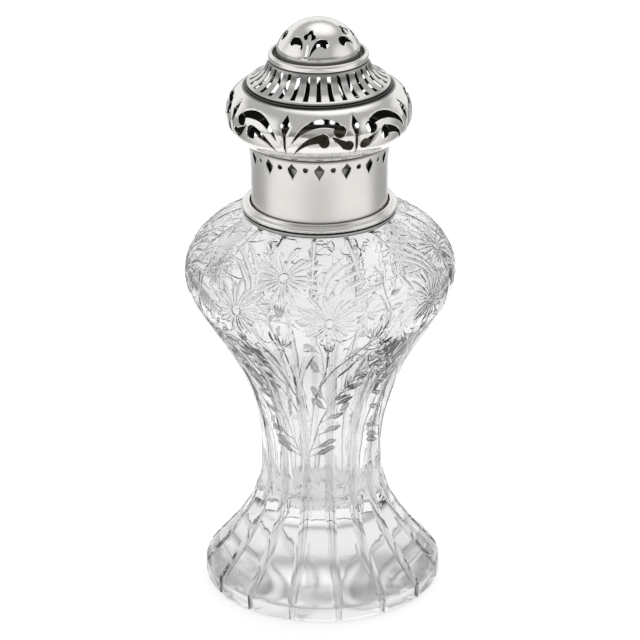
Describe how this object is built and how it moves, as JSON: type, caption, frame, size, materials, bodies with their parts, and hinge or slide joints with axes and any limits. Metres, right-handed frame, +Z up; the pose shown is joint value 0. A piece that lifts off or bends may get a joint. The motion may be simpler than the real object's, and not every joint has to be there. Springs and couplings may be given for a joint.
{
  "type": "sugar caster",
  "caption": "Baluster sugar caster of cut and engraved glass with a silver collar and a pierced, slotted and domed silver cover that pulls straight off.",
  "frame": {"origin": "centre of the foot, on the table", "axes": "+Z up along the axis of turning, -Y towards the front"},
  "size_m": [0.0794, 0.0794, 0.1758],
  "materials": {
    "cut_glass": "cut, engraved and polished clear glass",
    "plaster": "matt set plaster",
    "silver": "polished silver, darkened in the recesses"
  },
  "bodies": {
    "bottle": {"glass_body": "cut_glass", "plaster_bedding": "plaster", "collar_band": "silver", "collar_moulding": "silver"},
    "cover": {"cap_sleeve": "silver", "cap_bulb": "silver", "shoulder_wire": "silver", "cap_flare": "silver", "dome_rim": "silver", "cap_dome": "silver"}
  },
  "joints": [
    {"name": "cap_lift", "type": "slide", "parent": "bottle", "child": "cover", "axis": [0, 0, 1], "range_m": [0, 0.04]}
  ]
}
